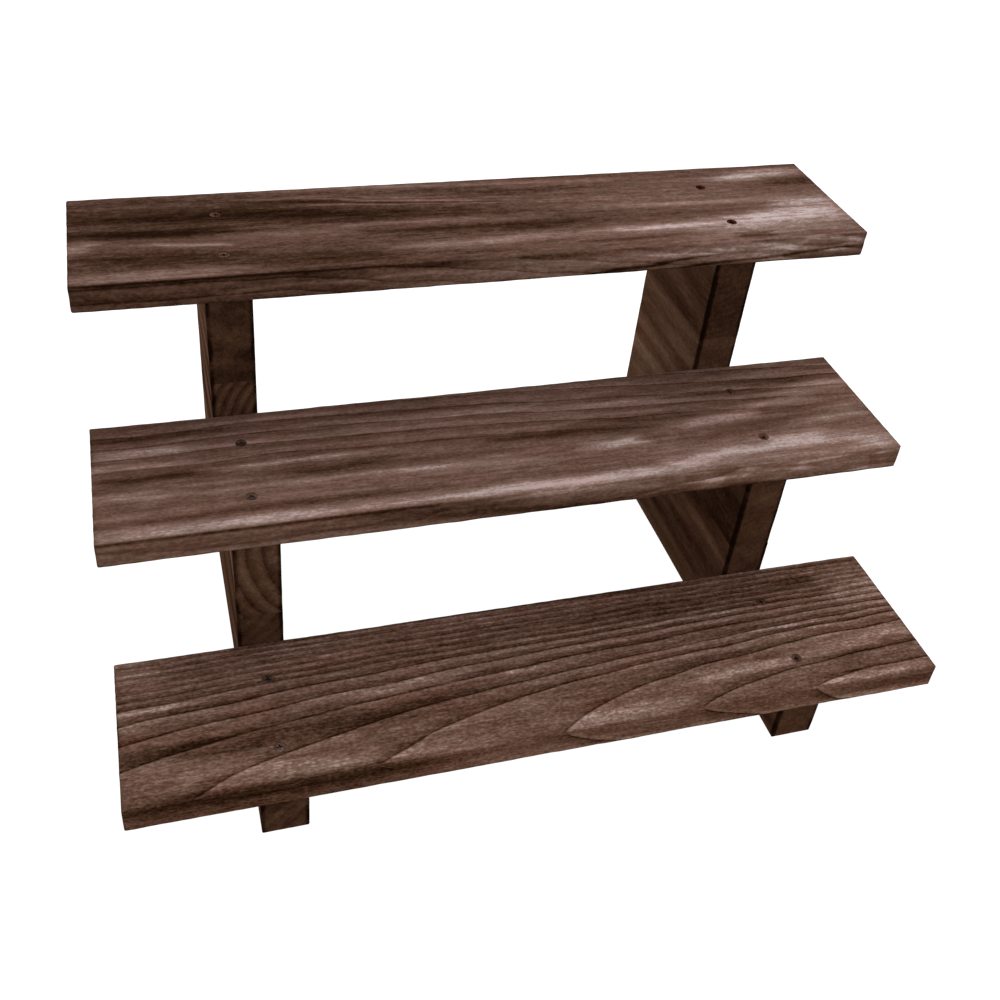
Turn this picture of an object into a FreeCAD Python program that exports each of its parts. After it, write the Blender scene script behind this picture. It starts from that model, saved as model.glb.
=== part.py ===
import FreeCAD, Part
import os

# Three-tier plant stand: three equal shelf boards on two stair-shaped side panels.
# Each panel is glued up edge to edge from three horizontal boards.
# Millimetres. +X along the shelves, +Y from front to rear, +Z up.
# The origin is on the floor, under the middle of the stand.

# Shelf boards
shelf_length = 600.0
shelf_depth = 125.0
shelf_thickness = 21.0
shelf_edge_radius = 1.5

# Tiers
tiers = ["bottom", "middle", "top"]
foot_height = 42.0            # from the floor to the underside of the bottom shelf
tier_rise = 123.0             # from one shelf to the next
nose_overhang = 8.0           # a shelf's front edge stands out this far from the riser under it

# Side panels
panel_thickness = 33.0
shelf_end_overhang = 88.0     # from a shelf's end to the outer face of the panel
joint_above_step = 50.0       # a glued joint lies this far above each step that has a riser behind it
panel_edge_radius = 1.0

# Countersunk wood screws, two per shelf and panel
front_screw_setback = 30.0    # from the shelf's front edge
rear_screw_setback = 35.0     # from the shelf's rear edge
screw_length = 50.0
head_diameter = 8.0
head_rim = 0.3
head_sink = 0.5               # the head lies this far under the shelf's top face
shank_diameter = 3.0
shank_length = 20.0           # plain part, head included
thread_diameter = 4.0
thread_core_diameter = 2.7
thread_pitch = 1.8
tip_length = 5.0
tip_diameter = 0.6
recess_length = 4.2
recess_width = 1.1
recess_depth = 1.4
hole_clearance = 0.1          # all round the screw
hole_mouth = 1.0              # a hole's cutting shape stands out this far over the shelf

# A shelf's rear edge butts against the riser behind it, so the run follows from the boards.
tier_run = shelf_depth - nose_overhang
stand_depth = shelf_depth + (len(tiers) - 1) * tier_run
stand_front = -stand_depth / 2
stand_rear = stand_depth / 2
panel_middle_x = shelf_length / 2 - shelf_end_overhang - panel_thickness / 2


def shelf_front(tier):
    return stand_front + tier * tier_run


def riser_front(tier):
    return shelf_front(tier) + nose_overhang


def step_height(tier):
    return foot_height + tier * tier_rise


def turned(points):
    """The solid that (radius, height) points sweep about the Z axis. They start and end on it."""
    path = [FreeCAD.Vector(radius, 0, height) for radius, height in points]
    outline = Part.makePolygon(path + [path[0]])
    return Part.Face(outline).revolve(FreeCAD.Vector(0, 0, 0), FreeCAD.Vector(0, 0, 1), 360)


def screw_thread(top, bottom):
    """Profile points of the thread, drawn as sharp rings at its pitch."""
    turns = max(1, round((top - bottom) / thread_pitch))
    pitch = (top - bottom) / turns
    points = [(thread_core_diameter / 2, top)]
    for turn in range(turns):
        points.append((thread_diameter / 2, top - (turn + 0.5) * pitch))
        points.append((thread_core_diameter / 2, top - (turn + 1) * pitch))
    return points


def make_screw():
    """A countersunk wood screw with a cross recess. The mouth of its hole is at the origin."""
    head = head_diameter / 2
    shank = shank_diameter / 2
    rim_end = -head_sink - head_rim
    thread_end = -head_sink - screw_length + tip_length
    profile = [(0, -head_sink), (head, -head_sink), (head, rim_end), (shank, rim_end - head + shank)]
    profile.append((shank, -head_sink - shank_length))
    profile += screw_thread(-head_sink - shank_length, thread_end)
    profile += [(tip_diameter / 2, thread_end - tip_length), (0, thread_end - tip_length)]
    screw = turned(profile)
    for x_size, y_size in [(recess_length, recess_width), (recess_width, recess_length)]:
        corner = FreeCAD.Vector(-x_size / 2, -y_size / 2, -head_sink - recess_depth)
        screw = screw.cut(Part.makeBox(x_size, y_size, recess_depth, corner))
    return screw


def make_screw_hole():
    """The cutting shape of a screw's hole through the shelf and down into the panel."""
    head = head_diameter / 2 + hole_clearance
    wall = thread_diameter / 2 + hole_clearance
    rim_end = -head_sink - head_rim
    point = -head_sink - screw_length - hole_clearance
    return turned([
        (0, hole_mouth),
        (head, hole_mouth),
        (head, rim_end),
        (wall, rim_end - head + wall),
        (wall, point + tip_length),
        (tip_diameter / 2 + hole_clearance, point),
        (0, point),
    ])


def at_screws(shape, tier):
    """Copies of the shape at the four points of a tier's shelf where its screws go in."""
    front = shelf_front(tier) + front_screw_setback
    rear = shelf_front(tier) + shelf_depth - rear_screw_setback
    copies = []
    for x in [-panel_middle_x, panel_middle_x]:
        for y in [front, rear]:
            place = FreeCAD.Vector(x, y, step_height(tier) + shelf_thickness)
            copies.append(shape.translated(place))
    return copies


def make_shelf(tier):
    corner = FreeCAD.Vector(-shelf_length / 2, shelf_front(tier), step_height(tier))
    board = Part.makeBox(shelf_length, shelf_depth, shelf_thickness, corner)
    board = board.makeFillet(shelf_edge_radius, board.Edges)
    return board.cut(at_screws(make_screw_hole(), tier))


def panel_outline():
    """(Y, Z) corners of the stair profile: up the risers and steps, then down the rear edge."""
    corners = [(riser_front(0), 0)]
    for tier in range(len(tiers)):
        corners.append((riser_front(tier), step_height(tier)))
        step_rear = riser_front(tier + 1) if tier + 1 < len(tiers) else stand_rear
        corners.append((step_rear, step_height(tier)))
    return corners + [(stand_rear, 0)]


def make_panel(middle_x):
    """A whole side panel. Its upright and bottom edges are eased, and the shelves' seats stay sharp."""
    corners = [FreeCAD.Vector(middle_x - panel_thickness / 2, y, z) for y, z in panel_outline()]
    face = Part.Face(Part.makePolygon(corners + [corners[0]]))
    panel = face.extrude(FreeCAD.Vector(panel_thickness, 0, 0))
    upright = [edge for edge in panel.Edges if edge.BoundBox.ZLength > edge.BoundBox.DiagonalLength * 0.99]
    on_floor = [edge for edge in panel.Edges if edge.BoundBox.ZMax < panel_edge_radius]
    panel = panel.makeFillet(panel_edge_radius, upright + on_floor)
    for tier in range(len(tiers)):
        panel = panel.cut(at_screws(make_screw_hole(), tier))
    return panel


def panel_boards(panel):
    """The boards that the panel is glued up from, lowest first."""
    joints = [step_height(tier) + joint_above_step for tier in range(len(tiers) - 1)]
    levels = [0] + joints + [step_height(len(tiers) - 1)]
    box = panel.BoundBox
    boards = []
    for low, high in zip(levels, levels[1:]):
        corner = FreeCAD.Vector(box.XMin, box.YMin, low)
        slab = Part.makeBox(box.XLength, box.YLength, high - low, corner)
        boards.append(panel.common(slab))
    return boards


def export(name, shape):
    shape.exportStep("parts/" + name + ".step")


os.makedirs("parts", exist_ok=True)
for number, name in enumerate(tiers):
    export(name + "_shelf", make_shelf(number))
    export(name + "_shelf_screws", Part.makeCompound(at_screws(make_screw(), number)))
for side, panel_x in [("left", -panel_middle_x), ("right", panel_middle_x)]:
    for name, board in zip(tiers, panel_boards(make_panel(panel_x))):
        export(side + "_panel_" + name + "_board", board)
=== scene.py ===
import math

import bpy
import numpy as np
from mathutils import Euler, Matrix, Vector


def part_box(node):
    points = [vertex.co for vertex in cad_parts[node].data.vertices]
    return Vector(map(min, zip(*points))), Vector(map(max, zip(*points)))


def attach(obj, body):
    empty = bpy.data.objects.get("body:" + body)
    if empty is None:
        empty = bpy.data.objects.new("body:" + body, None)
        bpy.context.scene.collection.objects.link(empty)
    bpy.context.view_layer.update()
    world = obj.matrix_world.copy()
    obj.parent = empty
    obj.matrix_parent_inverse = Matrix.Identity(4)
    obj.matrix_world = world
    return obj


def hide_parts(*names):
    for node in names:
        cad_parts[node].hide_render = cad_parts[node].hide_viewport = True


# A three-tier plant stand of scorched and brushed softwood: three shelf boards on two stair-shaped
# side panels, each panel glued up from three boards, held together by countersunk screws.
# The scene is in metres. Boards are shaped and marked in millimetres, on the same axes:
# x along the shelves from the middle of the stand, y from front to rear, z up from the floor.

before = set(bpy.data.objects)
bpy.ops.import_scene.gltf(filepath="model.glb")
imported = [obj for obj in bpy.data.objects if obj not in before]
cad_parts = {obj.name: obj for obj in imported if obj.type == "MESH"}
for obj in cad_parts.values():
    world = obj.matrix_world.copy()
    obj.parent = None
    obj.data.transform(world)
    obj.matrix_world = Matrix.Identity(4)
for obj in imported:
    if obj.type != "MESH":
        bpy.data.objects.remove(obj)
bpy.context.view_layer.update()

MM = 0.001
TIERS = ["bottom", "middle", "top"]
SIDES = ["left", "right"]
X_AXIS = 0
Y_AXIS = 1

# Grid of the modelled boards
ALONG_GRAIN_STEP = 2.5
ACROSS_GRAIN_STEP = 1.0
ARRIS_STEPS = [0, 0.5, 0.88, 1.2, 1.5]      # grid places beside an arris
SAME_PLACE = 1e-6                           # places closer than this are one place
SHARP_ANGLE = math.radians(35)              # surfaces that meet at more than this meet sharply

# Screws
HEAD_RADIUS = 4.0
HEAD_SINK = 0.5
# A screw hole, as (radius, height over the shelf's top face): its mouth, countersink, wall and point
HOLE_PROFILE = [(0, 1.0), (4.1, 1.0), (4.1, -0.8), (2.1, -2.8), (2.1, -45.6), (0.4, -50.6), (0, -50.6)]
HOLE_SIDES = 40


# ---------------------------------------------------------------- shape tools

def box_mm(node):
    """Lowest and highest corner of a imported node, in millimetres."""
    low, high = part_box(node)
    return np.array(low) / MM, np.array(high) / MM


def spaced(breaks, step):
    """Grid places over the breaks: close together beside each, and about a step apart between them."""
    places = []
    for low, high in zip(breaks, breaks[1:]):
        beside = [offset for offset in ARRIS_STEPS if offset < (high - low) / 3]
        inner_low = low + beside[-1]
        inner_high = high - beside[-1]
        count = max(1, round((inner_high - inner_low) / step))
        places += [low + offset for offset in beside]
        places += [high - offset for offset in beside]
        places += list(np.linspace(inner_low, inner_high, count + 1))
    return np.unique(np.round(places, 4))


def block_surface(xs, ys, zs, solid):
    """Points and quads of the closed surface round the cells where solid[y, z], all along x."""
    count = (len(xs), len(ys), len(zs))
    number = np.arange(count[0] * count[1] * count[2]).reshape(count)
    empty_before_y = solid & ~np.pad(solid, ((1, 0), (0, 0)))[:-1]
    empty_after_y = solid & ~np.pad(solid, ((0, 1), (0, 0)))[1:]
    empty_below = solid & ~np.pad(solid, ((0, 0), (1, 0)))[:, :-1]
    empty_above = solid & ~np.pad(solid, ((0, 0), (0, 1)))[:, 1:]
    quads = []

    def add(*corners):
        quads.append(np.stack([number[corner].ravel() for corner in corners], 1))

    # The two ends
    j, k = np.nonzero(solid)
    last = count[0] - 1
    add((0, j, k), (0, j, k + 1), (0, j + 1, k + 1), (0, j + 1, k))
    add((last, j, k), (last, j + 1, k), (last, j + 1, k + 1), (last, j, k + 1))
    # The four long sides
    i = np.arange(last)[:, None]
    j, k = np.nonzero(empty_before_y)
    add((i, j, k), (i + 1, j, k), (i + 1, j, k + 1), (i, j, k + 1))
    j, k = np.nonzero(empty_after_y)
    add((i, j + 1, k), (i, j + 1, k + 1), (i + 1, j + 1, k + 1), (i + 1, j + 1, k))
    j, k = np.nonzero(empty_below)
    add((i, j, k), (i, j + 1, k), (i + 1, j + 1, k), (i + 1, j, k))
    j, k = np.nonzero(empty_above)
    add((i, j, k + 1), (i + 1, j, k + 1), (i + 1, j + 1, k + 1), (i, j + 1, k + 1))

    used, quads = np.unique(np.concatenate(quads), return_inverse=True)
    i, j, k = np.unravel_index(used, count)
    return np.stack([xs[i], ys[j], zs[k]], 1), quads.reshape(-1, 4)


def eased(points, low, high, radius):
    """Points with the arrises of their box rounded off, and the outward direction at each.
    A side that lies NO_ARRIS away has no arris."""
    least_length = 1e-9
    radius = radius[:, None]
    inner = np.clip(points, low + radius, high - radius)
    reach = points - inner
    length = np.linalg.norm(reach, axis=1, keepdims=True)
    outward = reach / np.maximum(length, least_length)
    return inner + outward * np.minimum(length, radius), outward


def mesh_object(name, points, faces):
    """An object with its mesh, from points in millimetres."""
    mesh = bpy.data.meshes.new(name)
    mesh.from_pydata((points * MM).tolist(), [], [list(face) for face in faces])
    mesh.update()
    made = bpy.data.objects.new(name, mesh)
    bpy.context.scene.collection.objects.link(made)
    return made


def turned_object(name, profile, places, sides):
    """Closed solids, one at each place, turned about a vertical axis from (radius, height) points that
    start and end on it."""
    turns = np.arange(sides) * 2 * math.pi / sides
    points = []
    faces = []
    for place in places:
        first = len(points)
        points += [place + (0, 0, profile[0][1]), place + (0, 0, profile[-1][1])]
        for radius, height in profile[1:-1]:
            points += [place + (radius * math.cos(turn), radius * math.sin(turn), height) for turn in turns]
        for side in range(sides):
            after = (side + 1) % sides
            upper = first + 2
            faces.append((first, upper + side, upper + after))
            for ring in range(len(profile) - 3):
                lower = upper + sides
                faces.append((upper + side, lower + side, lower + after, upper + after))
                upper = lower
            faces.append((first + 1, upper + after, upper + side))
    return mesh_object(name, np.array(points), faces)


def cut_holes(board, places):
    """Cuts a screw hole at each place, where the middle of its mouth is."""
    if not places:
        return
    cutter = turned_object("hole_cutter", HOLE_PROFILE, places, HOLE_SIDES)
    cut = board.modifiers.new("holes", "BOOLEAN")
    cut.operation = "DIFFERENCE"
    cut.solver = "EXACT"
    cut.object = cutter
    shown = board.evaluated_get(bpy.context.evaluated_depsgraph_get())
    mesh = bpy.data.meshes.new_from_object(shown)
    board.modifiers.clear()
    board.data = mesh
    bpy.data.objects.remove(cutter)


def screw_places(tier):
    """The middles of the four screw hole mouths of a tier, on the shelf's top face."""
    low, high = box_mm(tier + "_shelf_screws")
    top = high[2] + HEAD_SINK
    xs = [low[0] + HEAD_RADIUS, high[0] - HEAD_RADIUS]
    ys = [low[1] + HEAD_RADIUS, high[1] - HEAD_RADIUS]
    return [np.array([x, y, top]) for x in xs for y in ys]


def vertex_places(made):
    """The places of the object's vertices, in millimetres."""
    places = np.empty(len(made.data.vertices) * 3, np.float32)
    made.data.vertices.foreach_get("co", places)
    return places.reshape(-1, 3).astype(float) / MM


def give_values(made, **values):
    """Stores one number per vertex under each name, for the material to read."""
    for name, numbers in values.items():
        attribute = made.data.attributes.new(name, "FLOAT", "POINT")
        attribute.data.foreach_set("value", np.ascontiguousarray(numbers, np.float32))


def finish_surface(made, material):
    """Smooth shading between the sharp edges, and the material."""
    made.data.shade_smooth()
    made.data.set_sharp_from_angle(angle=SHARP_ANGLE)
    made.data.materials.clear()
    made.data.materials.append(material)


# ---------------------------------------------------------------- fields over the boards

class Ripple:
    """Smooth seeded unevenness between about -1 and 1, with a wavelength of its own along each axis."""

    WAVES = 14
    STRETCH = 2.2       # evens out that most of the drawn waves are shorter than the wavelength
    HEIGHT = 0.6

    def __init__(self, seed, wavelengths):
        draw = np.random.RandomState(seed)
        turn = draw.normal(size=(self.WAVES, len(wavelengths)))
        self.steps = turn * 2 * math.pi / (self.STRETCH * np.array(wavelengths))
        self.starts = draw.uniform(0, 2 * math.pi, self.WAVES)

    def __call__(self, *places):
        phase = sum(np.multiply.outer(place, step) for place, step in zip(places, self.steps.T))
        return np.sin(phase + self.starts).sum(-1) * math.sqrt(2 / self.WAVES) * self.HEIGHT


def uneven(kinds, name, seed, *places):
    """The named unevenness of a board, from a table of (seed step, wavelengths)."""
    seed_step, wavelengths = kinds[name]
    return Ripple(seed + seed_step, wavelengths)(*places)


def smooth(value, low, high):
    """0 at low, 1 at high, and a smooth change between. Low may be the larger."""
    share = np.clip((value - low) / (high - low), 0, 1)
    return share * share * (3 - 2 * share)


def fade(value, low, high, at_low, at_high):
    """The first of two amounts at low, the second at high, and a smooth change between."""
    return at_low + (at_high - at_low) * smooth(value, low, high)


def marks(x, across, listed):
    """Soft light and dark marks along the grain. Each is (middle x, middle across, half length,
    half width, slope, strength), light where the strength is above zero."""
    total = np.zeros_like(x)
    for middle, place, half_length, half_width, slope, strength in listed:
        along = (x - middle) / half_length
        off = (across - place - slope * (x - middle)) / half_width
        total += strength * np.exp(-(along ** 4) - off ** 2)
    return total


LEAST_RING_GAP = 0.5
MOST_RING_GAP = 60


def ring_values(rings, points):
    """The ring number at each point, and how many millimetres lie between two rings there."""
    reach = 0.5
    least_density = 1e-4
    here = rings(*points.T)
    slopes = []
    for axis in range(3):
        moved = points.copy()
        moved[:, axis] += reach
        slopes.append((rings(*moved.T) - here) / reach)
    density = np.sqrt(np.square(slopes).sum(0))
    return here, np.clip(1 / np.maximum(density, least_density), LEAST_RING_GAP, MOST_RING_GAP)


def soft_wood(rings, points):
    """0 on the hard ring lines and 1 in the soft wood between them."""
    line_edge = 0.6
    soft_from = 3.0
    ring, gap = ring_values(rings, points)
    off = np.abs(ring - np.round(ring)) * gap
    return smooth(off, line_edge, soft_from)


# ---------------------------------------------------------------- node graphs

class Signal:
    """A socket that arithmetic works on: each sign adds a Math node."""

    def __init__(self, graph, socket):
        self.graph = graph
        self.socket = socket

    def __add__(self, other):
        return self.graph.math("ADD", self, other)

    def __radd__(self, other):
        return self.graph.math("ADD", other, self)

    def __sub__(self, other):
        return self.graph.math("SUBTRACT", self, other)

    def __mul__(self, other):
        return self.graph.math("MULTIPLY", self, other)


class Graph:
    """The node tree of a new material."""

    NOISE_MIDDLE = 0.5
    NOISE_GAIN = 3.0

    def __init__(self, name):
        self.material = bpy.data.materials.new(name)
        self.material.use_nodes = True
        self.tree = self.material.node_tree
        self.shader = next(node for node in self.tree.nodes if node.type == "BSDF_PRINCIPLED")
        self.place = self.add("ShaderNodeTexCoord").outputs["Object"]

    def add(self, kind, inputs=None, **settings):
        """A new node with these settings, and these values or signals at its inputs."""
        node = self.tree.nodes.new(kind)
        for name, value in settings.items():
            setattr(node, name, value)
        for key, value in (inputs or {}).items():
            self.feed(node.inputs[key], value)
        return node

    def feed(self, target, value):
        """Links a signal or socket to the input, or sets a plain value on it."""
        value = value.socket if isinstance(value, Signal) else value
        if isinstance(value, bpy.types.NodeSocket):
            self.tree.links.new(value, target)
        else:
            target.default_value = value

    def math(self, operation, *values):
        node = self.add("ShaderNodeMath", dict(enumerate(values)), operation=operation)
        return Signal(self, node.outputs[0])

    def axis(self, name):
        """The place along one axis, in metres."""
        return Signal(self, self.add("ShaderNodeSeparateXYZ", {0: self.place}).outputs[name])

    def attribute(self, name):
        """A value of the mesh's own vertices."""
        return Signal(self, self.add("ShaderNodeAttribute", attribute_name=name).outputs["Fac"])

    def noise(self, stretch, offset, detail, roughness=0.55):
        """Noise with that many features per metre along each axis, between about -1 and 1."""
        place = self.add(
            "ShaderNodeVectorMath",
            {0: self.place, 1: stretch, 2: offset},
            operation="MULTIPLY_ADD",
        )
        node = self.add(
            "ShaderNodeTexNoise",
            {"Vector": place.outputs[0], "Scale": 1.0, "Detail": detail, "Roughness": roughness},
        )
        return (Signal(self, node.outputs["Fac"]) - self.NOISE_MIDDLE) * self.NOISE_GAIN

    def step(self, value, low, high):
        """0 where the value is low, 1 where it is high, and a smooth change between.
        Low may be the larger."""
        node = self.add(
            "ShaderNodeMapRange",
            {"Value": value, "From Min": low, "From Max": high, "To Min": 0.0, "To Max": 1.0},
            interpolation_type="SMOOTHSTEP",
        )
        return Signal(self, node.outputs["Result"])

    def weighted(self, base, parts, weights):
        """The base, with each named part times its weight added."""
        total = base
        for name, weight in weights.items():
            total = total + parts[name] * weight
        return total

    def ramp(self, value, stops):
        """The colour at that value, between (value, colour) stops."""
        node = self.add("ShaderNodeValToRGB", {0: value})
        band = node.color_ramp
        while len(band.elements) < len(stops):
            band.elements.new(0.5)
        for element, (place, colour) in zip(band.elements, stops):
            element.position = place
            element.color = (*colour, 1.0)
        return node.outputs["Color"]

    def mixed(self, share, first, second, blend="MIX"):
        """The first colour, turning into the second as the share goes from 0 to 1."""
        node = self.add("ShaderNodeMix", data_type="RGBA", blend_type=blend)
        self.feed(node.inputs["Factor"], share)
        for name, colour in (("A", first), ("B", second)):
            place = next(place for place in node.inputs if place.name == name and place.type == "RGBA")
            self.feed(place, colour)
        return next(place for place in node.outputs if place.type == "RGBA")

    def relief(self, height, distance):
        """The surface direction for a relief of that height signal, as deep as the distance in metres."""
        return self.add("ShaderNodeBump", {"Height": height, "Distance": distance}).outputs["Normal"]

    def set(self, **values):
        """Sets the shader's own inputs. An underscore in a name stands for a space."""
        for name, value in values.items():
            self.feed(self.shader.inputs[name.replace("_", " ")], value)


# ---------------------------------------------------------------- wood

# Wood colours from scorched to worn pale, the pale end also carrying the painted sheen, as (value, colour)
SHELF_COLOURS = [
    (0.00, (0.0105, 0.0043, 0.0020)),
    (0.22, (0.0345, 0.0157, 0.0088)),
    (0.50, (0.0900, 0.0482, 0.0345)),
    (0.75, (0.1640, 0.1025, 0.0825)),
    (1.00, (0.3400, 0.2580, 0.2370)),
]
PANEL_COLOURS = [
    (0.00, (0.0060, 0.0026, 0.0015)),
    (0.22, (0.0230, 0.0100, 0.0055)),
    (0.50, (0.0580, 0.0275, 0.0155)),
    (0.75, (0.1050, 0.0560, 0.0370)),
    (1.00, (0.1900, 0.1150, 0.0870)),
]
REDDISH = (1.04, 0.96, 0.96)
FRONT_AND_UNDER_TINT = (0.99, 0.94, 0.87, 1.0)     # warmer on the front faces and undersides

# Noises of the wood: features per metre along and across the grain, detail, roughness
WOOD_NOISES = {
    "band": (4, 75, 2, 0.5),
    "streak": (9, 210, 2, 0.6),
    "mottle": (85, 240, 2, 0.6),
    "fibre": (45, 800, 3, 0.65),
    "fleck": (330, 620, 2, 0.6),
    "redness": (14, 60, 3, 0.6),
    "ring_waver": (12, 40, 1, 0.55),
}
NOISE_OFFSETS = (3.7, 7.1, 5.3)              # times the board's seed, so no two boards look the same

# How much each part adds to the value that the colours go by, to the roughness and to the relief
MIDDLE_VALUE = 0.5
VALUE_WEIGHTS = {"tone": 0.28, "line": -0.20, "late": -0.18, "early": 0.11, "scorch": -0.42}
WOOD_ROUGHNESS = 0.56
ROUGHNESS_WEIGHTS = {"tone": -0.05, "streak": 0.04, "fibre": 0.05, "scorch": 0.12, "line": 0.1}
RELIEF_WEIGHTS = {"fibre": 0.45, "streak": 0.2, "fleck": 0.5, "mottle": 0.4, "line": -1.2}
WOOD_RELIEF = 0.00028

# Ring lines, in millimetres from the middle of the nearest line
RING_WAVER = 0.04                            # in rings
LINE_RAGGEDNESS = 0.3
LINE_CORE = 0.1
LATE_WOOD = [(-9.0, -0.2), (0.5, 0.0)]       # darkens up to the line, and ends behind it
EARLY_WOOD = [(7.0, 0.8), (0.2, 0.8)]        # palest just behind the line, and fades out


def grain_noises(graph, grain_axis, seed):
    """All noises of the wood, drawn out along the grain."""
    offset = tuple(seed * step for step in NOISE_OFFSETS)
    noises = {}
    for name, (along, across, detail, roughness) in WOOD_NOISES.items():
        stretch = [across] * 3
        stretch[grain_axis] = along
        noises[name] = graph.noise(stretch, offset, detail, roughness)
    return noises


def ring_lines(graph, parts, line_width):
    """The thin dark line of each ring, the late wood that darkens towards it on the side of the lower
    ring numbers, and the pale early wood on its other side."""
    shown = graph.attribute("lines")
    ring = graph.attribute("ring") + parts["ring_waver"] * RING_WAVER
    off_line = (graph.math("FRACT", ring + 0.5) - 0.5) * graph.attribute("ring_gap")
    ragged = graph.math("ABSOLUTE", off_line) + parts["fibre"] * LINE_RAGGEDNESS
    late_rise, late_end = [graph.step(off_line, low, high) for low, high in LATE_WOOD]
    early_fade, early_start = [graph.step(off_line, low, high) for low, high in EARLY_WOOD]
    return {
        "line": graph.step(ragged, line_width, LINE_CORE) * shown,
        "late": late_rise * late_end * shown,
        "early": early_fade * early_start * shown,
    }


def wood_colour(graph, value, redness, colours, tint):
    """The colour for the value, redder in patches, and warmer on the front faces and undersides."""
    browns = [(place, np.multiply(colour, tint)) for place, colour in colours]
    reds = [(place, np.multiply(colour, REDDISH)) for place, colour in browns]
    red_share = graph.step(redness, -0.3, 0.6)
    worn = graph.mixed(red_share, graph.ramp(value, browns), graph.ramp(value, reds))
    return graph.mixed(graph.attribute("sheltered"), worn, FRONT_AND_UNDER_TINT, "MULTIPLY")


def wood_material(name, grain_axis, seed, colours, look):
    """Scorched and brushed wood. The rings, the broad tone and the scorched arrises come from the board's
    own values, and the fibres, streaks and pale flecks from noise drawn out along the grain."""
    graph = Graph(name)
    parts = grain_noises(graph, grain_axis, seed)
    parts["tone"] = graph.attribute("tone")
    parts["scorch"] = graph.attribute("scorch")
    parts.update(ring_lines(graph, parts, look["line_width"]))
    value = graph.weighted(MIDDLE_VALUE + look["shade"], parts, {**look["weights"], **VALUE_WEIGHTS})
    graph.set(Base_Color=wood_colour(graph, value, parts["redness"], colours, look["tint"]))
    graph.set(Roughness=graph.weighted(WOOD_ROUGHNESS, parts, ROUGHNESS_WEIGHTS))
    graph.set(Normal=graph.relief(graph.weighted(0.0, parts, RELIEF_WEIGHTS), WOOD_RELIEF))
    graph.set(Specular_IOR_Level=0.0)
    return graph.material


# ---------------------------------------------------------------- screw steel

SCREW_COLOURS = [
    (0.0, (0.012, 0.006, 0.004)),
    (0.5, (0.060, 0.033, 0.024)),
    (0.8, (0.150, 0.100, 0.080)),
    (1.0, (0.420, 0.330, 0.290)),
]
SCREW_GRAZING_TINT = (0.35, 0.28, 0.24, 1.0)
SCREW_VALUE = 0.44
# The left screws carry a painted highlight, and the top shelf's are painted darker, those on its right most
# of all, as painted shade; scratches and smudges vary all of them
SCREW_PAINTED_LIGHT_AND_SMUDGE_WEIGHTS = {"left": 0.15, "top": -0.24, "top_left": 0.20, "scratch": 0.25, "smudge": 0.25}
SCREW_RELIEF = 0.00006


def screw_material():
    """Dull brown-black steel, with a painted highlight on the left screws and painted shade on the top
    shelf's.
    """
    graph = Graph("screw_steel")
    scratch = graph.noise((900, 900, 900), (3.0, 1.0, 2.0), detail=3)
    smudge = graph.noise((180, 180, 180), (1.0, 5.0, 2.0), detail=2)
    left = graph.step(graph.axis("X"), 0.05, -0.05)
    top = graph.step(graph.axis("Z"), 0.2, 0.3)
    parts = {"left": left, "top": top, "top_left": top * left, "scratch": scratch, "smudge": smudge}
    value = graph.weighted(SCREW_VALUE, parts, SCREW_PAINTED_LIGHT_AND_SMUDGE_WEIGHTS)
    graph.set(Base_Color=graph.ramp(value, SCREW_COLOURS))
    graph.set(Metallic=1.0, Specular_Tint=SCREW_GRAZING_TINT)
    graph.set(Roughness=graph.weighted(0.5, parts, {"smudge": 0.1}))
    graph.set(Normal=graph.relief(scratch, SCREW_RELIEF))
    return graph.material


# ---------------------------------------------------------------- shelves

WAVER = Ripple(3, (45, 30, 30))

# Rings of the bottom shelf. Each ring line comes out of the front arris where it starts, sweeps
# rearward and settles at its final distance from the front edge, over its reach. The starts and the
# reaches are given at the same final distances.
RING_FINAL_PLACE = [-5, 0, 10.5, 30, 55, 66, 74, 81, 87, 92, 96.5, 101, 106, 110.5, 115.5, 120.5, 126, 132]
RING_NUMBER = [6, 5.6, 5, 4, 3, 2, 1, 0, -1, -2, -3, -4, -5, -6, -7, -8, -9, -10]
RING_START_PLACE = [0, 10.5, 30, 55, 66, 74, 81, 140]
RING_START = [230, 196, 104, -1, -133, -255, -385, -385]
RING_REACH = [10, 14, 70, 100, 145, 200, 215, 215]
RING_SWEEP_PLACE = [0, 81, 87, 92, 97, 115, 140]
RING_SWEEP = [1, 1, 0.66, 0.42, 0.26, 0.10, 0.08]
RING_SWEEP_POWER = 0.8
RING_SPREAD = 1e-4                           # keeps lines apart that start at one place

# How far a millimetre down the front face counts as one along the top face, over x
FRONT_SHARE_X = [-300, 100, 220, 300]
FRONT_SHARE = [1.15, 1.15, 0.45, 0.45]

# The middle shelf's rings bow towards the front at the right, over x
MIDDLE_BOW_X = [-300, -170, 0, 100, 300]
MIDDLE_BOW = [-3, 0, -7, -15, -28]
MIDDLE_RING_GAP = 13.3
MIDDLE_RING_TILT = 0.45
MIDDLE_RING_START = 0.45

# The top shelf's rings slant on the top face, and lie closer on the front face
TOP_RING_GAP = 15.0
TOP_RING_SLANT = -0.07
TOP_SLANT_DEPTH = 60
FRONT_RING_GAP = 11.0
FRONT_RING_RISE = 0.12
FRONT_RISE_FROM = -150
FRONT_RING_DEPTH = 25


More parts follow.
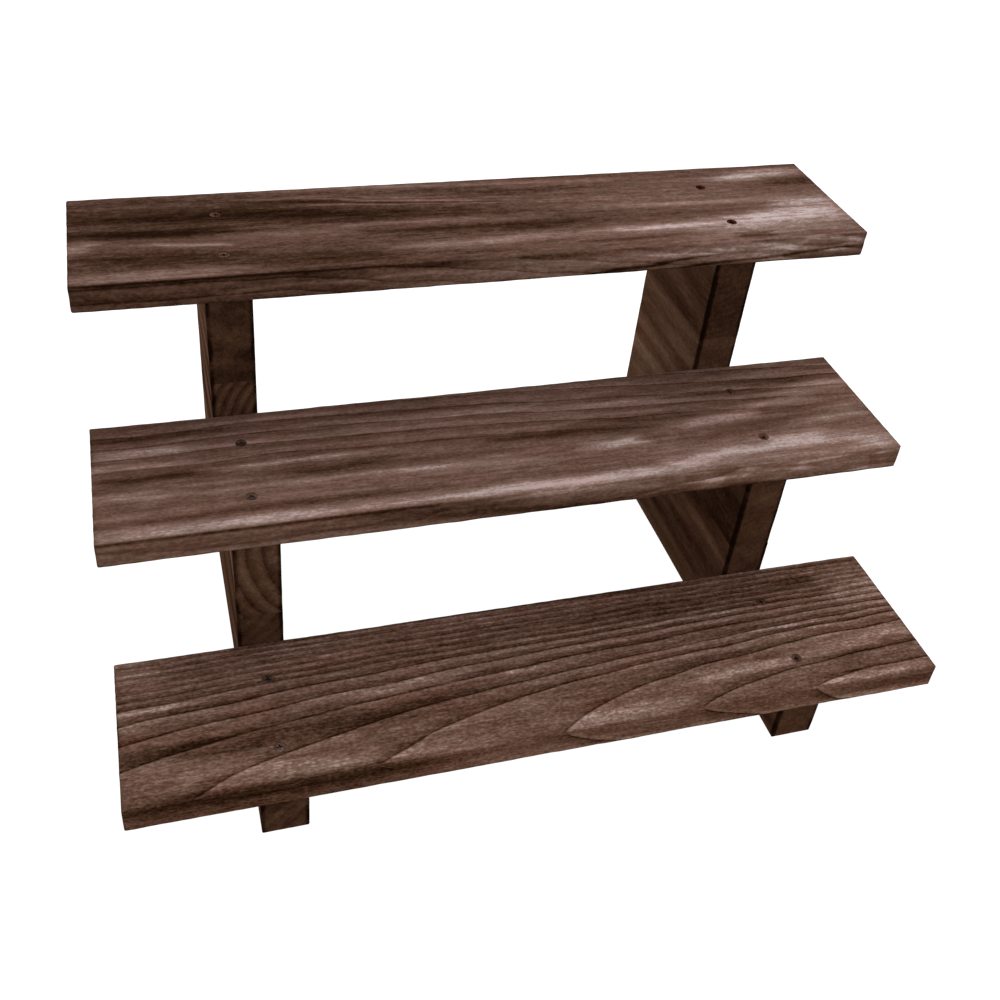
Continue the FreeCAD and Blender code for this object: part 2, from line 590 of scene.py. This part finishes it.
def bottom_ring_map():
    """Ring numbers over x and over the distance from the front arris, as a grid."""
    xs = np.arange(-320.0, 321.0, 4.0)
    distances = np.arange(0.0, 150.0, 1.0)
    final = np.arange(-5.0, 160.0, 0.5)
    start = np.interp(final, RING_START_PLACE, RING_START)
    reach = np.interp(final, RING_START_PLACE, RING_REACH)
    sweep = np.interp(final, RING_SWEEP_PLACE, RING_SWEEP)
    number = np.interp(final, RING_FINAL_PLACE, RING_NUMBER)
    rows = []
    for x in xs:
        gone = np.maximum(x - start, 0) / reach
        place = final * (1 - sweep * np.exp(-(gone ** RING_SWEEP_POWER))) + final * RING_SPREAD
        rows.append(np.interp(distances, np.maximum.accumulate(place), number))
    return xs, distances, np.array(rows)


RING_MAP = bottom_ring_map()


def map_value(grid, u, v):
    """The grid's value at (u, v), with straight lines between its places."""
    us, vs, values = grid
    inside = 1.001      # keeps the last places within the last cell
    a = np.clip((u - us[0]) / (us[1] - us[0]), 0, len(us) - inside)
    b = np.clip((v - vs[0]) / (vs[1] - vs[0]), 0, len(vs) - inside)
    i = a.astype(int)
    j = b.astype(int)
    s = a - i
    t = b - j
    low = values[i, j] * (1 - s) + values[i + 1, j] * s
    high = values[i, j + 1] * (1 - s) + values[i + 1, j + 1] * s
    return low * (1 - t) + high * t


def bottom_rings(x, y, drop):
    """Arches that open to the right. Across the board the rings lie round the front arris."""
    front_share = np.interp(x, FRONT_SHARE_X, FRONT_SHARE)
    distance = np.hypot(np.maximum(y, 0), front_share * np.maximum(drop, 0))
    waver = 0.9 * WAVER(x, y, drop)
    return map_value(RING_MAP, x, distance + waver)


def middle_rings(x, y, drop):
    """Nearly straight rings."""
    bow = np.interp(x, MIDDLE_BOW_X, MIDDLE_BOW)
    place = y - bow + MIDDLE_RING_TILT * drop + 1.2 * WAVER(x, y, drop)
    return place / MIDDLE_RING_GAP + MIDDLE_RING_START


def top_rings(x, y, drop):
    """Nearly straight rings, which pass over into flatter ones on the front face."""
    slant = TOP_RING_SLANT * (x + 300) * np.clip(y / TOP_SLANT_DEPTH, 0, 1)
    front = FRONT_RING_RISE * np.maximum(x, FRONT_RISE_FROM)
    on_top = (y - slant + 1.5 * WAVER(x, y, drop)) / TOP_RING_GAP
    on_front = (drop - front) / FRONT_RING_GAP * np.exp(-y / FRONT_RING_DEPTH)
    return on_top + on_front


# Light and dark places: worn pale wood with a painted sheen on it, dark grain and scorching, painted light
# and shade over whole faces, and a painted shadow. Across counts rearward from the front arris, and below
# zero down the front face.
# (middle x, middle across, half length, half width, slope, strength)
BOTTOM_MARKS = [
    (-285, 42, 45, 5, 0.03, -0.7),
    (-150, 43, 120, 9, 0.095, -0.8),
    (-250, 22, 50, 7, -0.05, 0.5),
    (-178, 10, 38, 7, 0.0, 0.8),
    (-90, 5, 50, 5, 0.0, 0.7),
    (-60, 20, 50, 8, 0.1, 0.15),
    (-95, 63, 45, 4, 0.05, 0.8),
    (5, 61, 40, 5, 0.0, 0.6),
    (40, 6, 45, 6, 0.0, 0.8),
    (90, 18, 60, 8, 0.1, 0.2),
    (152, 26, 42, 5, 0.05, 1.0),
    (250, 37, 60, 5, 0.05, 0.9),
    (272, 26, 48, 4, 0.05, -0.8),
    (250, 4, 50, 4, 0.0, 0.9),
    (150, 61, 80, 1.8, 0.03, 0.7),
    (290, 88, 35, 16, 0.0, 0.7),
    (-290, 113, 30, 9, 0.0, 0.7),
    (-285, 76, 45, 3, 0.02, 0.7),
    (-292, 62, 20, 4, 0.0, 0.4),
    (150, 98, 100, 8, 0.0, -0.5),
    # painted shadow beside the right panel
    (232, 106, 14, 9, 0.0, -0.6),
    (60, 124, 90, 3, 0.0, -1.0),
    (-200, -13, 125, 11, 0.0, -0.75),
    # painted shade: the front face darker as a whole in its middle
    (30, -11, 70, 11, 0.0, -0.2),
    (-200, -4, 125, 6, -0.01, -1.4),
    (120, -18, 200, 4, 0.0, 0.4),
    # painted shade: the front face darker towards its right end, this line and the next
    (200, -9, 110, 8, 0.0, -0.4),
    (280, -8, 40, 8, 0.0, -0.4),
]
MIDDLE_MARKS = [
    # painted sheen: the right half of the top face lighter
    (190, 60, 140, 60, 0.0, 0.10),
    (-240, 107, 60, 3.5, 0.0, -0.6),
    (-262, 92, 32, 5, 0.0, 0.9),
    (-270, 76, 45, 5, 0.0, 0.7),
    (-255, 60, 42, 4, 0.0, -1.3),
    (-138, 52, 58, 5, 0.0, -1.3),
    (-150, 65, 60, 2.5, 0.03, 0.8),
    (-130, 40, 100, 2.5, 0.0, 1.0),
    (-280, 43, 35, 4, 0.0, 0.8),
    (-30, 35, 65, 5, 0.0, 0.6),
    (75, 42, 26, 4.5, 0.05, 1.8),
    (45, 61, 70, 5, -0.03, -1.2),
    (110, 67, 60, 4, -0.05, -0.7),
    (170, 58, 34, 5, 0.08, 1.5),
    (232, 63, 60, 4, 0.0, -0.7),
    (225, 72, 40, 4, 0.1, 0.8),
    (265, 84, 40, 5, 0.05, 0.9),
    (215, 88, 60, 4, -0.05, -0.7),
    (190, 42, 60, 5, 0.08, -0.7),
    (262, 47, 40, 5, 0.1, 0.6),
    (240, 99, 50, 7, -0.03, -0.5),
    (20, 95, 120, 5, -0.05, 0.4),
    (-180, 17, 115, 3.5, 0.0, -0.8),
    # worn pale band along the front arris with a painted sheen on it, this line and the next six
    (-230, 5, 75, 5, 0.0, 1.0),
    (-140, 5, 70, 4, 0.0, 1.0),
    (15, 6, 100, 5, 0.0, 1.7),
    (150, 15, 42, 5.5, 0.08, 1.6),
    (225, 21, 36, 9, 0.05, 1.5),
    (280, 14, 22, 9, 0.0, 1.2),
    (200, 5, 110, 4, 0.0, 0.6),
    # painted light: the front face lighter as a whole
    (0, -10, 330, 13, 0.0, 0.25),
    (-200, -1.5, 130, 1.6, 0.0, -1.6),
    (-60, -8, 60, 5, -0.04, -0.8),
    (60, -18, 160, 4, -0.03, -1.3),
    (60, -5, 90, 3, -0.05, 0.8),
    (210, -8, 100, 9, 0.0, 0.7),
]
TOP_MARKS = [
    # painted sheen: the right part of the top face lighter
    (220, 60, 130, 60, 0.0, 0.3),
    (-230, 90, 110, 11, -0.03, -0.65),
    (-250, 66, 60, 7, -0.02, -1.1),
    (-150, 80, 110, 16, -0.05, -0.55),
    (-60, 74, 90, 8, -0.05, -0.5),
    (-240, 31, 60, 7, -0.03, -0.9),
    (-140, 15, 60, 10, 0.0, -0.7),
    (-180, 112, 110, 9, 0.0, -0.2),
    (0, 48, 95, 4.5, -0.02, -1.0),
    (60, 100, 90, 7, -0.04, -0.3),
    (-245, 9, 70, 5, 0.0, 0.9),
    (-215, 46, 26, 2.5, -0.08, 1.6),
    (-290, 52, 14, 9, 0.0, 1.3),
    (-240, 3.5, 75, 1.8, 0.0, 0.8),
    (-190, -0.5, 120, 1.0, 0.0, -1.4),
    (-130, 52, 60, 4, -0.06, 0.4),
    (-50, 59, 100, 4, -0.01, 0.8),
    (-25, 24, 50, 6, 0.0, 1.0),
    (45, 27, 45, 6, 0.0, 1.1),
    # worn pale patches at the right with a painted sheen on them, this line and the next three
    (140, 29, 48, 5.5, 0.02, 2.5),
    (250, 37, 55, 11, 0.08, 2.6),
    (230, 22, 80, 12, 0.0, 1.2),
    (275, 56, 32, 7, 0.05, 1.4),
    (190, 66, 100, 5, 0.0, 0.7),
    (160, 12, 160, 6, 0.0, 0.5),
    (150, 92, 110, 22, 0.0, 0.35),
    (255, 109, 40, 7, 0.08, 2.0),
    (280, 93, 28, 5, 0.0, -0.6),
    (206, 8, 14, 5, 0.0, -1.3),
    (110, 14, 45, 2.5, 0.0, -0.7),
    (-55, 120, 110, 4, -0.03, 0.5),
    (70, 113, 60, 3, 0.0, 0.5),
    (-75, 95.5, 125, 1.3, -0.115, -0.9),
    (-60, 98.0, 125, 1.0, -0.115, 0.9),
    (-30, 88.5, 105, 1.1, -0.09, 0.9),
    (-60, 102.5, 90, 1.0, -0.10, 0.6),
    # painted light and shade over the front face as a whole: lighter in the middle, darker at the left,
    # lighter at the right, this line and the next two
    (0, -10, 330, 13, 0.0, 0.75),
    (-200, -10, 135, 13, 0.0, -0.75),
    (220, -9, 90, 9, 0.0, 1.2),
    (-130, -11, 90, 1.2, 0.03, 0.6),
    (-40, -3, 30, 4, 0.0, -0.9),
    (0, -15, 70, 4, 0.0, 0.4),
    (225, -6, 50, 4, 0.05, 1.4),
    (130, -8, 60, 4, 0.05, 0.4),
    (140, -14, 75, 1.2, 0.10, -2.0),
    (215, -16, 100, 1.3, 0.06, -2.0),
]

# The weights are those of the wood's noises, and torn grain shows on the front face from that x to the
# right, so the bottom shelf has none. The shade is painted light or shade over the whole board: the top
# shelf, which gets the most light, is painted darker.
SHELF_LOOKS = {
    "bottom": {
        "rings": bottom_rings, "marks": BOTTOM_MARKS, "seed": 11, "shade": 0.03, "line_width": 1.3,
        "weights": {"band": 0.10, "streak": 0.12, "mottle": 0.14, "fibre": 0.16, "fleck": 0.26},
        "tint": (1.0, 1.0, 0.98), "torn_from": 300,
    },
    "middle": {
        "rings": middle_rings, "marks": MIDDLE_MARKS, "seed": 23, "shade": 0.025, "line_width": 1.3,
        "weights": {"band": 0.14, "streak": 0.12, "mottle": 0.12, "fibre": 0.09, "fleck": 0.15},
        "tint": (1.0, 1.03, 1.05), "torn_from": 60,
    },
    "top": {
        "rings": top_rings, "marks": TOP_MARKS, "seed": 37, "shade": -0.15, "line_width": 1.3,
        "weights": {"band": 0.12, "streak": 0.12, "mottle": 0.13, "fibre": 0.07, "fleck": 0.15},
        "tint": (1.0, 1.07, 1.13), "torn_from": 120,
    },
}

# Unevenness of a shelf, as (seed step, wavelengths in millimetres). Three wavelengths are along x, y and z,
# and two are along x and round the board.
SHELF_UNEVENNESS = {
    "wear": (0, (30, 60, 60)),
    "fine_wear": (1, (9, 60, 60)),
    "brushing": (5, (150, 11, 11)),
    "mark_sway": (7, (70, 25)),
    "mark_shift": (8, (40, 6)),
    "bands": (9, (160, 9)),
    "scorch": (10, (25, 25)),
    "torn": (12, (34, 4.4)),
    "finely_torn": (13, (15, 3.2)),
}
SHELF_RADIUS = 1.5
SHELF_RADIUS_WEAR = 0.35
SHELF_RADIUS_RANGE = (0.9, 7)
WANE = 2.0                                   # added to the radius of the middle shelf's front arris
SHELF_RING_DEPTH = 0.10
SHELF_BRUSHED_DEPTH = 0.06
SHELF_BRUSHED_WAVE = 0.05
SHELF_MOST_DEPTH = 0.35
TORN_DEPTH = 0.3
TORN_LENGTH = 70                             # over which the torn grain sets in
MOST_TONE = 2.4


def line_strength(tier, x, across):
    """How plainly the ring lines show at a place on a shelf."""
    on_top = across > 0
    if tier == "bottom":
        top = fade(across, 78, 98, 1.0, 0.5)
        front = fade(x, -80, -20, 0.15, 1.0)
        worn_arris = fade(np.abs(across), 0.5, 2.5, 0.15, 1.0)
        return np.where(on_top, top, front) * worn_arris
    if tier == "middle":
        return np.where(on_top, fade(across, 52, 78, 0.05, 0.55), 0.35)
    return np.where(on_top, 0.08, 0.45)


def shelf_places(points, low, high):
    """x, the distance behind the front face, the depth under the top face, and how far round the board
    each point lies from the front top arris: rearward over the top face is above zero, and down the
    front face and then rearward underneath is below it."""
    depth = high[1] - low[1]
    x = points[:, 0]
    y = points[:, 1] - low[1]
    drop = high[2] - points[:, 2]
    upper = drop < (high[2] - low[2]) / 2
    across = np.where(upper, y, -y) - drop
    across = np.where((y > depth - 1) | (upper & (y > depth / 2)), y + drop, across)
    return x, y, drop, across


def shelf_arris_radius(tier, seed, x, y, drop, thickness):
    """Eased arrises that are worn unevenly. The middle shelf's front arris wanes towards its right end."""
    wear = uneven(SHELF_UNEVENNESS, "wear", seed, x, y, drop)
    wear = wear + 0.6 * uneven(SHELF_UNEVENNESS, "fine_wear", seed, x, y, drop)
    radius = SHELF_RADIUS + SHELF_RADIUS_WEAR * wear
    if tier == "middle":
        front_top = smooth(y, 14, 4) * smooth(drop, thickness * 0.75, thickness * 0.4)
        right_end = smooth(x, 20, 160) * smooth(x, 292, 250)
        radius = radius + WANE * right_end * front_top
    return np.clip(radius, *SHELF_RADIUS_RANGE)


def torn_grain(look, x, across):
    """Where the front face is torn, near its right end, and 1 in the small pale hollows there."""
    start = look["torn_from"]
    on_front = smooth(across, 0, -2) * smooth(across, -22, -19)
    place = smooth(x, start, start + TORN_LENGTH) * on_front
    hollows = uneven(SHELF_UNEVENNESS, "torn", look["seed"], x, across)
    hollows = hollows + 0.5 * uneven(SHELF_UNEVENNESS, "finely_torn", look["seed"], x, across)
    return place, smooth(hollows, -0.5, 1.6)


def shelf_relief(look, x, y, drop, across):
    """How far brushing has taken the surface down: soft wood between the rings lies deeper, and torn
    hollows deepest."""
    hollow = soft_wood(look["rings"], np.stack([x, y, drop], 1)) * SHELF_RING_DEPTH
    brushing = uneven(SHELF_UNEVENNESS, "brushing", look["seed"], x, y, drop)
    wave = SHELF_BRUSHED_DEPTH + SHELF_BRUSHED_WAVE * brushing
    place, torn = torn_grain(look, x, across)
    return np.clip(hollow + wave, 0, SHELF_MOST_DEPTH) + TORN_DEPTH * place * torn


def shelf_tone(look, x, across):
    """The broad light and dark of a shelf: its listed marks, which waver a little, the torn grain, and
    bands on the faces that no mark lies on."""
    seed = look["seed"]
    off_arris = smooth(np.abs(across), 0, 10)
    sway = 1.3 * uneven(SHELF_UNEVENNESS, "mark_sway", seed, x, across) * off_arris
    shift = 8 * uneven(SHELF_UNEVENNESS, "mark_shift", seed, x, across)
    tone = marks(x + shift, across + sway, look["marks"])
    tone = MOST_TONE * np.tanh(tone / MOST_TONE)
    place, torn = torn_grain(look, x, across)
    tone += place * (1.1 * torn - 0.4)
    unmarked = smooth(-across, 22, 26) + smooth(across, 126, 130)
    return tone + 0.8 * unmarked * uneven(SHELF_UNEVENNESS, "bands", seed, x, across)


def shelf_scorch(seed, x, across, thickness, half_length):
    """Uneven scorching along the front lower arris and the ends."""
    off_lower_arris = np.abs(across + thickness)
    off_end = half_length - np.abs(x)
    near = smooth(np.minimum(off_lower_arris, off_end), 2.2, 0.3)
    return near * np.clip(0.25 + 0.35 * uneven(SHELF_UNEVENNESS, "scorch", seed, x, across), 0, 1)


def dress_shelf(shelf, tier, look, low, high):
    """The values that the wood material reads, and the material."""
    seed = look["seed"]
    x, y, drop, across = shelf_places(vertex_places(shelf), low, high)
    ring, gap = ring_values(look["rings"], np.stack([x, y, drop], 1))
    give_values(
        shelf,
        tone=shelf_tone(look, x, across),
        ring=ring,
        ring_gap=gap,
        scorch=shelf_scorch(seed, x, across, high[2] - low[2], high[0]),
        lines=line_strength(tier, x, across),
        sheltered=smooth(across, 1.0, -2.0),
    )
    finish_surface(shelf, wood_material(tier + "_shelf_wood", X_AXIS, seed, SHELF_COLOURS, look))


def make_shelf(tier):
    """A shelf board with its screw holes."""
    low, high = box_mm(tier + "_shelf")
    look = SHELF_LOOKS[tier]
    xs = spaced([low[0], high[0]], ALONG_GRAIN_STEP)
    ys = spaced([low[1], high[1]], ACROSS_GRAIN_STEP)
    zs = spaced([low[2], high[2]], ACROSS_GRAIN_STEP)
    solid = np.ones((len(ys) - 1, len(zs) - 1), bool)
    points, quads = block_surface(xs, ys, zs, solid)
    x, y, drop, across = shelf_places(points, low, high)
    radius = shelf_arris_radius(tier, look["seed"], x, y, drop, high[2] - low[2])
    points, outward = eased(points, low, high, radius)
    points -= outward * shelf_relief(look, x, y, drop, across)[:, None]
    shelf = mesh_object(tier + "_shelf_board", points, quads)
    cut_holes(shelf, screw_places(tier))
    dress_shelf(shelf, tier, look, low, high)
    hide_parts(tier + "_shelf")
    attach(shelf, "root")


# ---------------------------------------------------------------- side panels

NO_ARRIS = 1e6                               # far beyond any board

# Unevenness of a panel board, as (seed step, wavelengths in millimetres along x, y and z)
PANEL_UNEVENNESS = {
    "wear": (0, (60, 60, 25)),
    "brushing": (5, (9, 120, 9)),
    "tone": (9, (30, 140, 16)),
    "scorch": (10, (30, 30, 14)),
}
PANEL_RADIUS = 1.0
PANEL_RADIUS_WEAR = 0.3
PANEL_RADIUS_RANGE = (0.6, 1.5)
PANEL_RING_DEPTH = 0.08
PANEL_BRUSHED_DEPTH = 0.05
PANEL_BRUSHED_WAVE = 0.04
PANEL_MOST_DEPTH = 0.3


def left_middle_rings(x, y, z):
    """Rings round a pith beside the board, closer together towards the rear."""
    pith_x = -125
    pith_z = 150
    radius = np.hypot(x - pith_x, (z - pith_z) * np.where(z > pith_z, 0.85, 1.0))
    ring_gap = np.interp(y, [-50, 60], [11.5, 7.5])
    return radius / ring_gap + 0.25 + 0.08 * WAVER(x, y, z)


def slanted_rings(rise, gap, start):
    """Straight rings, a gap of millimetres apart upwards, that climb by the rise over each millimetre to
    the right."""
    def rings(x, y, z):
        return (z - rise * x + 1.5 * WAVER(x * 2, y, z * 2)) / gap + start
    return rings


PANEL_WEIGHTS = {"band": 0.10, "streak": 0.06, "mottle": 0.10, "fibre": 0.08, "fleck": 0.12}

# Painted light and shade, above and below zero: the side amount on the sides, the upper side amount more on
# their upper and rear part, which lie open to the light, and the front amount on the risers' front faces.
# The shade is painted light or shade over the whole board.
PANEL_LOOK = {
    "shade": 0.0, "side_painted_light": 0.0, "upper_side_painted_light": 0.0, "front_painted_light": 0.0,
    "weights": PANEL_WEIGHTS, "tint": (1.0, 1.02, 1.0), "line_width": 4.0,
}
PANEL_LOOKS = {
    ("left", "bottom"): {
        **PANEL_LOOK, "rings": slanted_rings(1.1, 14, 0.2), "seed": 51, "lines": 0.25,
        "shade": -0.03, "side_painted_light": 0.3,
    },
    ("left", "middle"): {
        **PANEL_LOOK, "rings": left_middle_rings, "seed": 53, "lines": 0.65,
        "shade": 0.09, "side_painted_light": 0.3,
    },
    ("left", "top"): {
        **PANEL_LOOK, "rings": slanted_rings(0.6, 16, 0.0), "seed": 55, "lines": 0.1,
        "shade": -0.03, "side_painted_light": 0.6, "front_painted_light": -0.4,
    },
    ("right", "bottom"): {
        **PANEL_LOOK, "rings": slanted_rings(-0.9, 13, 0.5), "seed": 57, "lines": 0.10,
        "shade": -0.09, "front_painted_light": 0.15,
    },
    ("right", "middle"): {
        **PANEL_LOOK, "rings": slanted_rings(0.25, 9, 0.0), "seed": 59, "lines": 0.08,
        "shade": -0.01, "side_painted_light": -0.3, "upper_side_painted_light": 0.55,
        "weights": {**PANEL_WEIGHTS, "band": 0.04, "streak": 0.04},
    },
    ("right", "top"): {
        **PANEL_LOOK, "rings": slanted_rings(0.25, 6, 0.0), "seed": 61, "lines": 0.12,
        "shade": -0.03, "side_painted_light": 0.4, "front_painted_light": -0.4,
        "weights": {**PANEL_WEIGHTS, "band": 0.03, "streak": 0.04},
    },
}


class PanelShape:
    """Where one board of a side panel lies, and the step that is cut out of its front, if it has one."""

    def __init__(self, node, tier):
        self.low, self.high = box_mm(node)
        self.y_breaks = [self.low[1], self.high[1]]
        self.z_breaks = [self.low[2], self.high[2]]
        self.step = None
        level = TIERS.index(tier)
        if level < len(TIERS) - 1:
            nose = box_mm("left_panel_bottom_board")[0][1] - box_mm("bottom_shelf")[0][1]
            self.step = box_mm(tier + "_shelf")[0][2]
            self.y_breaks.insert(1, box_mm(TIERS[level + 1] + "_shelf")[0][1] + nose)
            self.z_breaks.insert(1, self.step)

    def surface(self):
        """Points and quads of the board with sharp arrises."""
        xs = spaced([self.low[0], self.high[0]], ACROSS_GRAIN_STEP)
        ys = spaced(self.y_breaks, ALONG_GRAIN_STEP)
        zs = spaced(self.z_breaks, ACROSS_GRAIN_STEP)
        solid = np.ones((len(ys) - 1, len(zs) - 1), bool)
        if self.step is not None:
            before_riser = ys[1:] <= self.y_breaks[1] + SAME_PLACE
            over_step = zs[:-1] >= self.step - SAME_PLACE
            solid[np.ix_(before_riser, over_step)] = False
        return block_surface(xs, ys, zs, solid)

    def arris_box(self, points, on_floor):
        """The box whose arrises are eased at each point. Steps and glued joints stay sharp."""
        low = np.tile(self.low, (len(points), 1))
        high = np.tile(self.high, (len(points), 1))
        if self.step is not None:
            over_step = points[:, 2] > self.step - SAME_PLACE
            behind_riser = points[:, 1] > self.y_breaks[1] - SAME_PLACE
            low[over_step & behind_riser, 1] = self.y_breaks[1]
        high[:, 2] = NO_ARRIS
        if not on_floor:
            low[:, 2] = -NO_ARRIS
        return low, high

    def off_riser(self, y, z):
        """How far behind the front face each place lies, at its own height."""
        riser = np.full_like(y, self.low[1])
        if self.step is not None:
            riser[z > self.step] = self.y_breaks[1]
        return np.abs(y - riser)

    def holds(self, place):
        """Whether the screw hole at that place reaches into the board."""
        x, y, mouth = place
        beside = self.low[0] < x < self.high[0] and self.low[1] < y < self.high[1]
        hole_bottom = mouth + HOLE_PROFILE[-1][1]
        board_top = self.high[2]
        if self.step is not None and y < self.y_breaks[1]:
            board_top = self.step
        return beside and hole_bottom < board_top and mouth > self.low[2]


def panel_relief(look, points, x, y, z):
    """How far brushing has taken the surface down."""
    hollow = soft_wood(look["rings"], points) * PANEL_RING_DEPTH * look["lines"]
    brushing = uneven(PANEL_UNEVENNESS, "brushing", look["seed"], x, y, z)
    wave = PANEL_BRUSHED_DEPTH + PANEL_BRUSHED_WAVE * brushing
    return np.clip(hollow + wave, 0, PANEL_MOST_DEPTH)


def panel_tone(shape, look, places, off_riser):
    """The broad light and dark of a panel board: uneven tone, with painted light and shade on its sides and
    on its risers' front faces.
    """
    x, y, z = places.T
    on_side = smooth(off_riser, 0.5, 3.0)
    on_front = smooth(off_riser, 3.0, 0.5)
    unevenness = 0.25 + 0.25 * on_side
    tone = unevenness * uneven(PANEL_UNEVENNESS, "tone", look["seed"], x, y, z) - 0.1
    top = shape.high[2]
    # painted light and shade on the sides, more on their upper and rear part, which lie open to the light
    open_share = np.maximum(smooth(z, top - 50, top - 20), smooth(y, 50, 110))
    side_painted_light = look["side_painted_light"] + look["upper_side_painted_light"] * open_share
    return tone + (side_painted_light * on_side + look["front_painted_light"] * on_front)


def riser_scorch(shape, side, seed, places, off_riser):
    """Dark scorching along the upright arrises of the risers, strongest inside the right panel."""
    x, y, z = places.T
    off_side = np.minimum(x - shape.low[0], shape.high[0] - x)
    off_arris = np.hypot(off_riser * (off_riser > 1.5), off_side)
    near = smooth(off_arris, 4.0, 1.0) * smooth(off_riser, 6, 2)
    strength = np.where((side == "right") & (x < shape.low[0] + 10), 1.2, 0.75)
    strength = strength + 0.4 * uneven(PANEL_UNEVENNESS, "scorch", seed, x, y, z)
    return np.clip(near * strength, 0, 1)


def dress_panel_board(board, shape, side, tier, look):
    """The values that the wood material reads, and the material."""
    seed = look["seed"]
    places = vertex_places(board)
    count = len(places)
    off_riser = shape.off_riser(places[:, 1], places[:, 2])
    ring, gap = ring_values(look["rings"], places)
    give_values(
        board,
        tone=panel_tone(shape, look, places, off_riser),
        ring=ring,
        ring_gap=gap,
        scorch=riser_scorch(shape, side, seed, places, off_riser),
        lines=np.full(count, look["lines"]),
        sheltered=np.zeros(count),
    )
    name = side + "_" + tier + "_panel_wood"
    finish_surface(board, wood_material(name, Y_AXIS, seed, PANEL_COLOURS, look))


def make_panel_board(side, tier):
    """One of the three boards that a side panel is glued up from, with its screw holes."""
    node = side + "_panel_" + tier + "_board"
    shape = PanelShape(node, tier)
    look = PANEL_LOOKS[side, tier]
    points, quads = shape.surface()
    x, y, z = points.T
    wear = uneven(PANEL_UNEVENNESS, "wear", look["seed"], x, y, z)
    radius = np.clip(PANEL_RADIUS + PANEL_RADIUS_WEAR * wear, *PANEL_RADIUS_RANGE)
    box_low, box_high = shape.arris_box(points, on_floor=tier == "bottom")
    points, outward = eased(points, box_low, box_high, radius)
    points -= outward * panel_relief(look, points, x, y, z)[:, None]
    board = mesh_object(side + "_" + tier + "_panel_board", points, quads)
    holes = [place for level in TIERS for place in screw_places(level)]
    cut_holes(board, [place for place in holes if shape.holds(place)])
    dress_panel_board(board, shape, side, tier, look)
    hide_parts(node)
    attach(board, "root")


# ---------------------------------------------------------------- setting

CAMERA_PLACE = (-0.25298, -0.65703, 0.72708)
CAMERA_TURN = (52.508, -4.4565, -15.5038)      # degrees about x, y and z
CAMERA_FOCUS = 1.1861                          # focal length as a share of the picture's width
CAMERA_SHIFT = (0.025, -0.070)
SENSOR_WIDTH = 36.0
NEAREST_SEEN = 0.01

# Name, place, aim, size and power of each soft light
LIGHTS = [
    ("rear_right_window", (1.25, 1.75, 1.35), (0.05, 0.1, 0.2), (1.3, 1.0), 26),
    ("overhead", (0.0, 0.2, 2.4), (0.0, 0.0, 0.0), (3.0, 3.0), 36),
]
WHITE = (1.0, 1.0, 1.0, 1.0)
SURROUND_STRENGTH = 1.0
FLOOR_HALF_WIDTH = 40.0
FLOOR_GLOW = 1.0
FLOOR_GREYS = [(0.0, (0.10, 0.10, 0.10)), (1.0, (0.14, 0.14, 0.14))]


def make_camera():
    data = bpy.data.cameras.new("camera")
    data.sensor_width = SENSOR_WIDTH
    data.lens = CAMERA_FOCUS * SENSOR_WIDTH
    data.shift_x, data.shift_y = CAMERA_SHIFT
    data.clip_start = NEAREST_SEEN
    camera = bpy.data.objects.new("camera", data)
    camera.location = CAMERA_PLACE
    camera.rotation_euler = Euler([math.radians(turn) for turn in CAMERA_TURN])
    bpy.context.scene.collection.objects.link(camera)
    bpy.context.scene.camera = camera


def add_light(name, place, aim, size, power):
    data = bpy.data.lights.new(name, "AREA")
    data.shape = "RECTANGLE"
    data.size, data.size_y = size
    data.energy = power
    light = bpy.data.objects.new(name, data)
    light.location = place
    light.rotation_euler = (Vector(aim) - Vector(place)).to_track_quat("-Z", "Y").to_euler()
    bpy.context.scene.collection.objects.link(light)


def floor_material():
    """A white sheet lit from beneath, as on a lit photo table."""
    graph = Graph("pale_floor")
    grain = graph.noise((60, 60, 60), (0.0, 0.0, 0.0), detail=2)
    graph.set(Base_Color=graph.ramp(0.5 + grain * 0.1, FLOOR_GREYS))
    graph.set(Roughness=0.9, Specular_IOR_Level=0.1)
    graph.set(Emission_Color=WHITE, Emission_Strength=FLOOR_GLOW)
    return graph.material


def make_floor():
    half = FLOOR_HALF_WIDTH
    corners = np.array([(-half, -half, 0), (half, -half, 0), (half, half, 0), (-half, half, 0)])
    floor = mesh_object("floor", corners / MM, [(0, 1, 2, 3)])
    floor.data.materials.append(floor_material())


def make_surround():
    """Even white light from all sides."""
    world = bpy.data.worlds.new("studio")
    world.use_nodes = True
    background = world.node_tree.nodes["Background"]
    background.inputs["Color"].default_value = WHITE
    background.inputs["Strength"].default_value = SURROUND_STRENGTH
    bpy.context.scene.world = world
    bpy.context.scene.view_settings.view_transform = "Standard"


# ---------------------------------------------------------------- the stand

make_camera()
make_floor()
make_surround()
for light in LIGHTS:
    add_light(*light)
steel = screw_material()
for tier in TIERS:
    make_shelf(tier)
    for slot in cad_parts[tier + "_shelf_screws"].material_slots:
        slot.material = steel
    for side in SIDES:
        make_panel_board(side, tier)
